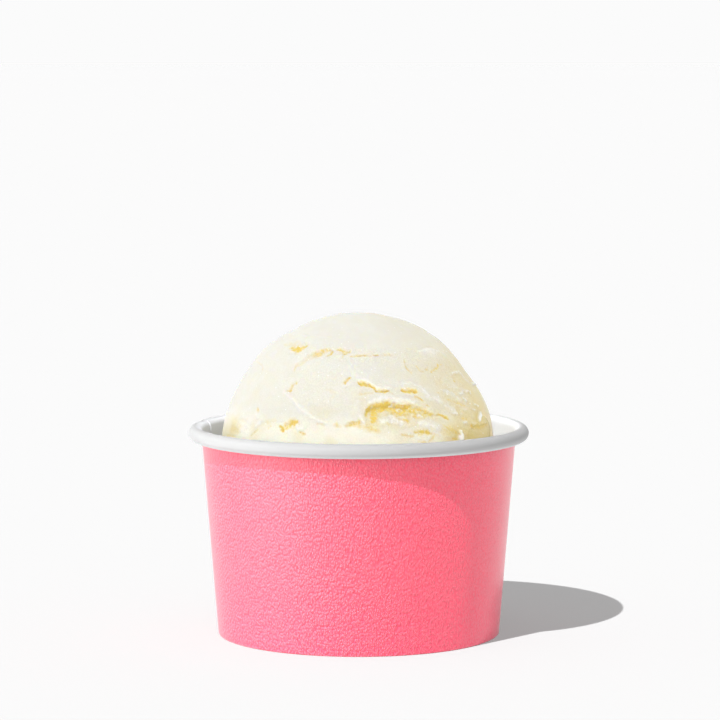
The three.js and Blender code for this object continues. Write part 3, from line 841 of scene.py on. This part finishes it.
def makeGelatoShape():
    bearing, latitude = gelatoGrid()
    direction = onBall(bearing, latitude)
    flat = direction.reshape(-1, 3) * scoop["radius"]
    shape = bearing.shape

    # torn edges wander: the places are shifted before the tears are measured from them
    across = perDegree * np.maximum(np.cos(np.radians(latitude)), 0.2)

    def stray(start):
        slow = noiseOver(flat, texture["wanderSize"], start)
        fine = noiseOver(flat, texture["fraySize"], start + texture["frayStart"], 2)
        return (scoop["wander"] * slow + scoop["fray"] * fine).reshape(shape)

    def over(points, name):
        return noiseOver(points, *texture[name]).reshape(shape)

    startB, startL = texture["strayStarts"]
    tornB = bearing + stray(startB) / across
    tornL = latitude + stray(startL) / perDegree
    low = smoothstep(latitude, 1, 8)
    relief = np.zeros(shape)
    glow = np.zeros(shape)
    white = np.zeros(shape)
    for tear in tears + drawnTears():
        addTear(tear, tornB, tornL, relief, glow)
    for line, depth, golden in pockets:
        addPocket(line, depth, golden, tornB, tornL, relief, glow)
    for line, height in crests:
        addPocket(line, -height, 0.4 + 1.2 * height, tornB, tornL, relief, white)
    glow *= 1 - 0.7 * np.clip(white, 0, 1)

    rough = np.zeros(shape)
    for patch in roughPatches:
        rough = np.maximum(rough, patchShare(patch, tornB, tornL, 3))
    flakes = over(flat @ np.array(texture["flakeLean"]), "flakes")
    crumbs = over(flat, "crumbs")
    torn = (texture["flakeShare"] * (np.abs(flakes) - texture["flakeLevel"])
            + texture["crumbShare"] * crumbs)
    white *= 1 + 0.5 * crumbs
    relief += rough * scoop["crag"] * torn * (1 + 1.2 * np.clip(glow, 0, 1))

    # thin layers torn off one another: the surface steps down where slow noise crosses a level
    layers = over(flat @ np.array(texture["layerLean"]), "layers")
    steps = np.zeros(shape)
    for level in texture["layerLevels"]:
        steps += smoothstep(layers, level - texture["layerEdge"], level + texture["layerEdge"])
    relief += scoop["layer"] * (steps - 2) * np.clip(rough + 0.12 * (latitude < 56), 0, 0.8)
    slow = over(flat, "slow")
    relief += texture["slowHeight"] * slow

    # the spoon's streaks, high on the right
    perBearing, perLatitude = texture["streakScale"]
    drawnOut = np.stack([bearing * perBearing, latitude * perLatitude, 0 * latitude], -1)
    swept = between(bearing, 45, 60, 95, 110) * between(latitude, 24, 40, 72, 85)
    relief += texture["streakHeight"] * swept * over(drawnOut.reshape(-1, 3), "streaks")
    relief += scoop["grain"] * (0.4 + 0.6 * rough) * over(flat, "grain")
    relief *= low
    print("  relief done, from %.2f to %.2f mm" % (relief.min(), relief.max()))

    rowMm, columnMm = scoop["sideStep"] * perDegree, scoop["frontStep"] * perDegree * 0.85
    softened = blur(relief, texture["soften"], rowMm, columnMm)
    dips = np.clip((softened - relief) / texture["dipDepth"], 0, 1)
    # painted shade: the gold of crevices, and more where the surface dips below its softened form
    hollowShade = glow * (0.95 + 0.9 * crumbs) + dips * (0.06 + 0.3 * rough + 0.3 * glow)
    ridge = np.clip((relief - softened) / texture["ridgeHeight"], 0, 1)

    # lips lean over the hollow beside them
    downL = np.gradient(softened, axis=0) / rowMm
    downB = -np.gradient(softened, axis=1) / columnMm
    above = np.clip(relief - softened, 0, 0.8)
    radius = scoop["radius"] + swell(direction, latitude) + relief
    for bulge in bulges:
        radius += patchShare(bulge, bearing, latitude)
    lean, most = scoop["lean"] * above, texture["leanMost"]
    latitudeLean = latitude + np.clip(lean * downL, -most, most) / perDegree
    bearingLean = bearing + np.clip(lean * downB, -most, most) / across
    ball = onBall(bearingLean, latitudeLean) * radius[..., None] + np.array(scoop["centre"])

    # warmer: painted shade on the right side away from the key light, patches of melt and of
    # painted shade, and mottling low down
    warm = (scoop["shadedSideCream"] * (1 - 0.7 * smoothstep(latitude, 35, 60))
            * between(bearing, 0, 85, 150, 250))
    for patch in warmPatches:
        warm += patchShare(patch, tornB, tornL, 2)
    warm += scoop["mottle"] * slow * (1 - smoothstep(latitude, 18, 40))
    frost = white.copy()
    for patch in frostPatches:
        frost = np.maximum(frost, patchShare(patch, tornB, tornL, 2))
    frost = np.clip(frost * (0.75 + 0.5 * slow) + 0.6 * ridge * (0.3 + rough), 0, 1)
    frost = np.maximum(frost, white)
    coarse = np.clip(rough + 0.35 * (1 - smoothstep(latitude, 50, 60)), 0, 1)
    marks = {"hollowShade": np.clip(hollowShade, 0, 1.3), "frost": frost, "warm": np.clip(warm, 0, 1),
             "coarse": coarse}
    return bearing, ball, marks


# From the ball's foot out to the wall in one hollow curve, then down the wall.
def spreadRings(bearing, foot):
    turn = np.radians(bearing)
    uneven = np.sin(3 * turn + math.radians(40)) + 0.7 * np.sin(7 * turn)
    rimToFoot = cup["height"] - scoop["moatDepth"]
    low = rimToFoot - 1 + 0.5 * uneven
    meets = rimToFoot + 1 - 0.6 * np.sin(5 * turn + math.radians(70))
    angle = np.arctan2(foot[:, 1], foot[:, 0])
    footR = np.hypot(foot[:, 0], foot[:, 1])
    play = cup["board"] + scoop["wallPlay"]
    edgeR = wallRadius(0, play) + math.tan(wallLean) * meets
    rings = []
    for share in np.linspace(0, 1, scoop["spreadRings"] + 1)[1:]:
        a, m, e = (1 - share) ** 2, 2 * share * (1 - share), share**2
        r = a * footR + m * (footR - 0.2) + e * edgeR
        z = a * foot[:, 2] + m * low + e * meets
        place = ringAt(r, angle, z)
        place[:, 2] += (scoop["spreadRough"] * noiseOver(place, *scoop["spreadNoise"])
                        * math.sin(math.pi * share))
        rings.append(place)
    bottom = cup["floorHeight"] + scoop["wallPlay"]
    for z, inset in ((bottom + scoop["corner"], 0), (bottom, scoop["corner"])):
        rings.append(ringAt(wallRadius(z, play) - inset, angle, z))
    rings.append(np.array([[0, 0, bottom]]))
    return rings


def makeGelato(material):
    bearing, ball, marks = makeGelatoShape()
    pole = ball[0].mean(0)
    pole[2] = ball[0][:, 2].max() + 0.01
    rings = [pole[None, :]] + list(ball) + spreadRings(bearing[0], ball[-1])
    points, faces, _ = closedGrid(rings, False)
    piece = newPiece("gelato_scoop", points, faces, [material])
    count = len(points)
    inTheMoat = {"hollowShade": 0.08, "frost": 0.2, "warm": 0.15, "coarse": 0.4}
    for name, grid in marks.items():
        values = np.full(count, inTheMoat[name], np.float32)
        values[0] = grid[0].mean()
        values[1:1 + grid.size] = grid.reshape(-1)
        attribute = piece.data.attributes.new(name, "FLOAT", "POINT")
        attribute.data.foreach_set("value", values)
    return piece


cream = {
    "plain": (0.757, 0.743, 0.66, 1.0),
    # the gold painted into hollows, creases and pockets as shade
    "deep": (0.803, 0.624, 0.159, 1.0),
    "frosted": (0.775, 0.765, 0.708, 1.0),
    "warm": (0.72, 0.59, 0.25, 1.0),
    "litNearRim": (0.938, 0.910, 0.788, 1.0),  # painted light: paler low on the ball, where the cup's rim shades it
    "litNearRimBand": (58.5, 66),  # mm above the floor
    "fleckDark": (0.94, 0.93, 0.905, 1.0),
    "fleckLight": (1.05, 1.05, 1.045, 1.0),
    "noFleck": (1.0, 1.0, 1.0, 1.0),
    "chipAndLight": (0.90, 0.885, 0.82, 1.0),  # icy crumbs that stand out, also painted lighter where they sit in shade: painted light
    "ice": (0.93, 0.93, 0.92, 1.0),
    # noises: features to the millimetre, detail and roughness
    "mottle": (0.35, 4.0),
    "crumb": (1.3, 3.0, 0.6),
    "fleck": (2.8, 2.0, 0.7),
    "grain": (2.2, 3.0),
    "grainStrength": 0.4,
    "grainDepth": 0.00012,  # metres
    "pitting": 0.9,  # how much crumbs break up the gold of the hollows
    "scatter": 0.0012,  # metres
    "scatterRatio": (1.0, 0.78, 0.42),
    "scatterInIce": 0.2,
    "ior": 1.36,
    "roughness": 0.5,
    "wetRoughness": 0.25,
    "iceSize": 1.1,  # icy specks to the millimetre
    "iceEdge": (0.10, 0.24),  # a speck's edge, as a share of its cell
    "icePicked": (0.90, 0.94),  # which cells hold one
    "iceInFrost": 0.34,  # how many more of them do where it is frosted
}


def makeCream():
    material, tree, shader = newMaterial("vanilla_gelato")
    point = objectPoint(tree, (1 / mm,) * 3)
    hollowShade, frost, warm, coarse = (
        addNode(tree, "ShaderNodeAttribute", {}, attribute_name=name).outputs["Fac"]
        for name in ("hollowShade", "frost", "warm", "coarse"))

    # the plain cream, mottled, painted paler low down (painted light), and warmer (partly painted
    # shade) or frosted in patches
    mottle = noiseField(tree, point, *cream["mottle"])
    mottleShare = remap(tree, mottle, 0.38, 0.66, 0.0, 0.7)
    color = mixColor(tree, mottleShare, cream["plain"], cream["frosted"])
    # painted light low on the ball along the cup's rim
    lowShare = remap(tree, heightOf(tree, point), *cream["litNearRimBand"], 1.0, 0.0)
    color = mixColor(tree, lowShare, color, cream["litNearRim"])
    # warmer where marked: melt, and painted shade on the right side and in the big hollow
    warmShare = remap(tree, warm, 0.0, 1.0, 0.0, 0.95)
    color = mixColor(tree, warmShare, color, cream["warm"])
    frostShare = remap(tree, frost, 0.05, 1.0, 0.0, 0.9)
    color = mixColor(tree, frostShare, color, cream["frosted"])
    # icy chips, partly painted light on crests that sit in shade
    chipShare = remap(tree, frost, 0.65, 1.25, 0.0, 0.85)
    color = mixColor(tree, chipShare, color, cream["chipAndLight"])

    # in torn places the painted golden shade of the hollows breaks up into grains and pits
    crumb = noiseField(tree, point, *cream["crumb"])
    pit = remap(tree, crumb, 0.3, 0.7, cream["pitting"], -cream["pitting"])
    pitShare = mathNode(tree, "MULTIPLY", pit, coarse)
    pitted = mathNode(tree, "MULTIPLY_ADD", pitShare, hollowShade, hollowShade)
    deepShare = remap(tree, pitted, 0.03, 1.0, 0.0, 1.0)
    color = mixColor(tree, deepShare, color, cream["deep"])

    # flecks where it is coarse
    fleck = noiseField(tree, point, *cream["fleck"])
    fleckShare = remap(tree, fleck, 0.35, 0.6, 0.0, 1.0)
    flecked = mixColor(tree, fleckShare, cream["fleckDark"], cream["fleckLight"])
    calm = remap(tree, coarse, 0.0, 0.8, 1.0, 0.0)
    flecked = mixColor(tree, calm, flecked, cream["noFleck"])
    color = mixColor(tree, 1.0, color, flecked, "MULTIPLY")

    # tiny icy specks, only some of the cells and mostly where it is frosted
    specks = addNode(tree, "ShaderNodeTexVoronoi", {"Vector": point, "Scale": cream["iceSize"]})
    near = remap(tree, specks.outputs["Distance"], *cream["iceEdge"], 1.0, 0.0)
    cell = addNode(tree, "ShaderNodeSeparateColor", {"Color": specks.outputs["Color"]})
    chosen = mathNode(tree, "MULTIPLY_ADD", frost, cream["iceInFrost"], cell.outputs["Red"])
    few = remap(tree, chosen, *cream["icePicked"], 0.0, 1.0)
    ice = mathNode(tree, "MULTIPLY", near, few)
    icy = mathNode(tree, "MAXIMUM", ice, chipShare)

    shader.subsurface_method = "RANDOM_WALK"
    grain = noiseField(tree, point, *cream["grain"])
    feed(tree, shader, {
        "Base Color": mixColor(tree, ice, color, cream["ice"]),
        "Subsurface Weight": remap(tree, icy, 0.0, 1.0, 1.0, cream["scatterInIce"]),
        "Subsurface Scale": cream["scatter"],
        "Subsurface Radius": cream["scatterRatio"],
        "IOR": cream["ior"],
        "Roughness": remap(tree, warm, 0.75, 1.0, cream["roughness"], cream["wetRoughness"]),
        "Normal": bumped(tree, grain, cream["grainStrength"], cream["grainDepth"]),
    })
    return material


vanilla = makeCream()
gelato = makeGelato(vanilla)
print("gelato made:", len(gelato.data.polygons), "faces")

for piece, node, slot in ((wall, "cup_wall", "printed_board"),
                          (floorDisc, "cup_floor", "white_board"),
                          (gelato, "gelato", "gelato")):
    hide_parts(node)
    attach(piece, "root")

stage = {
    "floorSize": 80.0,  # metres
    "floorColor": (0.1233, 0.1233, 0.1233, 1.0),
    "speckle": 0.996,  # how dark its faint speckle is
    "speckleScale": 900,  # to the metre
    "horizon": 0.965,
    "zenith": 0.85,
    "skyRange": (0.03, 0.75),  # heights on the sky's ball that are horizon and zenith
}

# Lamps: which way the light travels (degrees from +X towards +Y, then degrees down), how
# strong, how soft in degrees, and what it lights.
suns = {
    "keyOnCup": {"way": (55.3, 52.7), "strength": 4.0, "soft": 0.6, "on": "cup"},
    "keyOnScoop": {"way": (55.3, 52.7), "strength": 0.8, "soft": 14, "on": "scoop"},
    "leftOnScoop": {"way": (0, 0), "strength": 0.58, "soft": 60, "on": "scoop",
                    "shadows": False},
    "frontOnScoop": {"way": (90, -35), "strength": 0.90, "soft": 60, "on": "scoop",
                     "shadows": False},
    "rightOnScoop": {"way": (135, 0), "strength": 0.24, "soft": 60, "on": "scoop",
                     "shadows": False},
    "keyOnGround": {"way": (54.3, 47.8), "strength": 19.3, "soft": 0.6, "on": "ground"},
    "fillOnGround": {"way": (90, 89), "strength": 7.6, "soft": 30, "on": "ground",
                     "shadows": False},
}

# Soft boxes, in metres: one lights the cup, the other only shows as a sheen in its varnish.
softBoxes = {
    "softBox": {"place": (-0.61, -0.10, 0.12), "strength": 4.6, "sheen": False},
    "sheenBox": {"place": (-0.545, -0.28, 0.08), "strength": 15.0, "sheen": True},
}
softBoxTarget = (0, 0, 0.035)
softBoxSize = (0.62, 0.5)


def aimed(lamp, travel):
    lamp.rotation_mode = "QUATERNION"
    lamp.rotation_quaternion = Vector(travel).to_track_quat("-Z", "Y")


def makeLamp(name, kind, lit):
    data = bpy.data.lights.new(name, kind)
    lamp = bpy.data.objects.new(name, data)
    bpy.context.scene.collection.objects.link(lamp)
    lamp.light_linking.receiver_collection = lit
    lamp.visible_camera = False
    return lamp, data


def makeFloorPlane():
    material, tree, shader = newMaterial("pale_floor")
    fine = objectPoint(tree, (stage["speckleScale"],) * 3)
    share = remap(tree, noiseField(tree, fine, 1.0, 2.0), 0.3, 0.7, 0.0, 1.0)
    color = stage["floorColor"]
    shade = tuple(c * stage["speckle"] for c in color[:3]) + (1.0,)
    feed(tree, shader, {
        "Base Color": mixColor(tree, share, color, shade),
        "Roughness": 1.0,
        "Specular IOR Level": 0.0,
    })
    h = stage["floorSize"] / 2 / mm
    floor = newPiece("floor", [(-h, -h, 0), (h, -h, 0), (h, h, 0), (-h, h, 0)],
                     [(0, 1, 2, 3)], [material])
    return floor


def makeLights(floor):
    lit = {}
    for name, pieces in (("cup", (wall, floorDisc)), ("scoop", (gelato,)), ("ground", (floor,))):
        lit[name] = bpy.data.collections.new("lit_" + name)
        for piece in pieces:
            lit[name].objects.link(piece)
    for name, sun in suns.items():
        lamp, data = makeLamp(name, "SUN", lit[sun["on"]])
        data.energy = sun["strength"]
        data.angle = math.radians(sun["soft"])
        data.use_shadow = sun.get("shadows", True)
        (x, y), (level, down) = (turned(angle) for angle in sun["way"])
        aimed(lamp, (level * x, level * y, -down))
    for name, box in softBoxes.items():
        lamp, data = makeLamp(name, "AREA", lit["cup"])
        data.shape = "RECTANGLE"
        data.size, data.size_y = softBoxSize
        data.energy = box["strength"]
        lamp.visible_diffuse = not box["sheen"]
        lamp.visible_glossy = box["sheen"]
        lamp.location = box["place"]
        aimed(lamp, Vector(softBoxTarget) - Vector(box["place"]))


def makeSky():
    world = bpy.data.worlds.new("studio")
    bpy.context.scene.world = world
    world.use_nodes = True
    tree = world.node_tree
    up = heightOf(tree, addNode(tree, "ShaderNodeTexCoord", {}).outputs["Generated"])
    level = remap(tree, up, *stage["skyRange"], stage["horizon"], stage["zenith"])
    feed(tree, tree.nodes["Background"], {"Strength": level, "Color": (1, 1, 1, 1)})


view = {
    "lens": 162.3,
    "place": (0.35, -910.5, 163.9),  # mm
    "pitch": 5.43,  # degrees down
    "sensor": 36,  # mm
    "clip": (0.05, 200),  # metres
}


def makeCamera():
    data = bpy.data.cameras.new("camera")
    data.lens = view["lens"]
    data.sensor_width = view["sensor"]
    data.clip_start, data.clip_end = view["clip"]
    camera = bpy.data.objects.new("camera", data)
    bpy.context.scene.collection.objects.link(camera)
    camera.location = Vector(view["place"]) * mm
    camera.rotation_euler = (math.radians(90 - view["pitch"]), 0, 0)
    bpy.context.scene.camera = camera


makeLights(makeFloorPlane())
makeSky()
makeCamera()
bpy.context.scene.view_settings.view_transform = "Standard"
print("stage ready")
